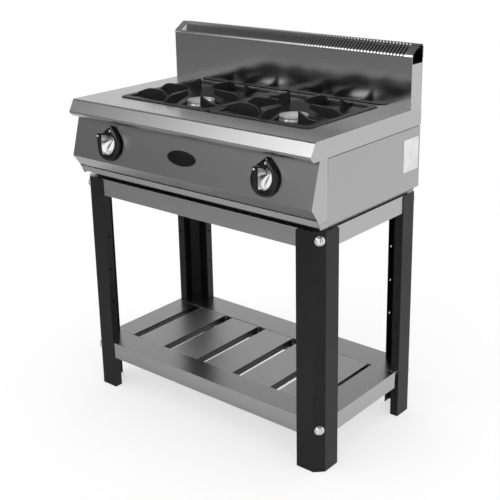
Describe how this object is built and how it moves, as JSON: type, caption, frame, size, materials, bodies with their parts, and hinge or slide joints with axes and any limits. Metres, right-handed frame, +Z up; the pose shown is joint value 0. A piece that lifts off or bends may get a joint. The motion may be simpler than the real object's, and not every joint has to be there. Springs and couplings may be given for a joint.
{
  "type": "stock pot range",
  "caption": "Free-standing gas range with cast pan supports, a slanted control panel, a rear flue riser and an open leg stand with a slatted shelf.",
  "frame": {"origin": "on the floor, under the middle of the part's box", "axes": "+Z up, +X to the right of someone facing the control panel, -Y towards that person"},
  "size_m": [0.8, 0.499, 1],
  "materials": {
    "black_leg": "satin black powder coat",
    "stand_steel": "satin brushed",
    "shelf_steel": "satin brushed",
    "inner_steel": "zinc coated sheet",
    "bolt_chrome": "polished dome",
    "zinc_steel": "zinc plated",
    "casing_steel": "satin brushed",
    "worktop_steel": "satin brushed",
    "riser_steel": "polished front, satin sides",
    "badge_black": "glossy black, bare",
    "burner_cast": "cast",
    "burner_ring": "toothed ring",
    "burner_cap": "satin turned",
    "brass": "machined",
    "gas_pipe": "yellow paint",
    "tube_steel": "drawn bright",
    "probe_copper": "drawn",
    "knob_black": "glossy black",
    "knob_chrome": "bright hollowed",
    "cast_iron": "black enamelled cast iron",
    "tray_steel": "satin brushed"
  },
  "bodies": {
    "range": {"leg_front_left": "black_leg", "leg_front_right": "black_leg", "leg_rear_left": "black_leg", "leg_rear_right": "black_leg", "rail_front": "stand_steel", "rail_rear": "stand_steel", "rail_left": "stand_steel", "rail_right": "stand_steel", "shelf_front": "shelf_steel", "shelf_rear": "shelf_steel", "shelf_left": "shelf_steel", "shelf_right": "shelf_steel", "slat_1": "shelf_steel", "slat_2": "shelf_steel", "slat_3": "shelf_steel", "slat_4": "shelf_steel", "slat_5": "shelf_steel", "slat_ledges": "shelf_steel", "corner_brackets": "inner_steel", "leg_bolts": "bolt_chrome", "leg_nuts": "zinc_steel", "base_panel": "inner_steel", "side_panel_left": "casing_steel", "side_panel_right": "casing_steel", "control_panel": "casing_steel", "rear_panel": "inner_steel", "worktop": "worktop_steel", "grate_bar": "inner_steel", "riser_front": "riser_steel", "riser_back": "riser_steel", "riser_sides": "riser_steel", "vent_grille": "riser_steel", "badge_plate": "badge_black", "burner_support": "inner_steel", "burner_body_left": "burner_cast", "burner_body_right": "burner_cast", "injectors": "brass", "gas_manifold": "gas_pipe", "tap_body_left": "brass", "tap_body_right": "brass", "feed_tubes": "tube_steel", "thermocouples": "probe_copper", "tray_runners": "inner_steel"},
    "tap_plug_left": {"tap_plug_left": "brass"},
    "knob_left": {"knob_left": "knob_black", "knob_cheeks_left": "knob_chrome", "tap_stem_left": "tube_steel"},
    "burner_head_left": {"burner_head_left": "burner_ring"},
    "burner_cap_left": {"burner_cap_left": "burner_cap"},
    "tap_plug_right": {"tap_plug_right": "brass"},
    "knob_right": {"knob_right": "knob_black", "knob_cheeks_right": "knob_chrome", "tap_stem_right": "tube_steel"},
    "burner_head_right": {"burner_head_right": "burner_ring"},
    "burner_cap_right": {"burner_cap_right": "burner_cap"},
    "drip_tray": {"drip_tray": "tray_steel"},
    "grate_left": {"grate_left": "cast_iron"},
    "grate_right": {"grate_right": "cast_iron"}
  },
  "joints": [
    {"name": "tap_turn_left", "type": "hinge", "parent": "range", "child": "tap_plug_left", "pos_m": [-0.2605, -0.19765, 0.73333], "axis": [0, -0.9635, 0.2676], "range_deg": [0, 180]},
    {"name": "knob_push_left", "type": "slide", "parent": "tap_plug_left", "child": "knob_left", "axis": [0, 0.9635, -0.2676], "range_m": [0, 0.004], "stiffness_N_per_m": 900, "springref_m": -0.002},
    {"name": "flame_ring_lift_left", "type": "slide", "parent": "range", "child": "burner_head_left", "axis": [0, 0, 1], "range_m": [0, 0.04]},
    {"name": "cap_lift_left", "type": "slide", "parent": "burner_head_left", "child": "burner_cap_left", "axis": [0, 0, 1], "range_m": [0, 0.04]},
    {"name": "pan_support_lift_left", "type": "slide", "parent": "range", "child": "grate_left", "axis": [0, 0, 1], "range_m": [0, 0.12]},
    {"name": "tap_turn_right", "type": "hinge", "parent": "range", "child": "tap_plug_right", "pos_m": [0.2605, -0.19765, 0.73333], "axis": [0, -0.9635, 0.2676], "range_deg": [0, 180]},
    {"name": "knob_push_right", "type": "slide", "parent": "tap_plug_right", "child": "knob_right", "axis": [0, 0.9635, -0.2676], "range_m": [0, 0.004], "stiffness_N_per_m": 900, "springref_m": -0.002},
    {"name": "flame_ring_lift_right", "type": "slide", "parent": "range", "child": "burner_head_right", "axis": [0, 0, 1], "range_m": [0, 0.04]},
    {"name": "cap_lift_right", "type": "slide", "parent": "burner_head_right", "child": "burner_cap_right", "axis": [0, 0, 1], "range_m": [0, 0.04]},
    {"name": "pan_support_lift_right", "type": "slide", "parent": "range", "child": "grate_right", "axis": [0, 0, 1], "range_m": [0, 0.12]},
    {"name": "drip_tray_slide", "type": "slide", "parent": "range", "child": "drip_tray", "axis": [0, -1, 0], "range_m": [0, 0.36]}
  ]
}
